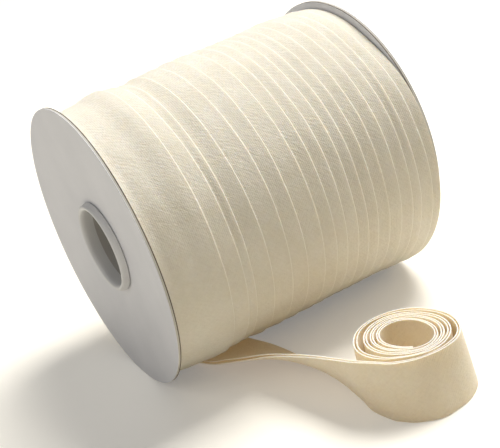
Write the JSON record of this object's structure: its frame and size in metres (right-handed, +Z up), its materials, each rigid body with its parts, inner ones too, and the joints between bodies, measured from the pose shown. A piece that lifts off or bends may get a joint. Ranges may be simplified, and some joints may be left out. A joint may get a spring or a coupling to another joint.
{
  "type": "roll of bias tape on a flanged spool",
  "caption": "Cream folded bias tape wound in overlapping turns on a white flanged spool, its loose end drawn out in front and rolled into a small coil standing on edge.",
  "frame": {"origin": "under the middle of the whole part's box, on the surface that the spool and the coil stand on", "axes": "+X along the spool's axis towards the far flange, -Y towards the small coil, +Z up"},
  "size_m": [0.1054, 0.153, 0.0998],
  "materials": {
    "spool_plastic": "smooth satin white moulding",
    "flange_card": "matt white coated card with a grey-brown cut edge",
    "bias_tape": "cream woven cotton cut on the bias, pressed into a closed double fold"
  },
  "bodies": {
    "root": {"core": "spool_plastic", "near_flange": "flange_card", "far_flange": "flange_card", "wound_tape": "bias_tape", "loose_end": "bias_tape"}
  },
  "joints": []
}
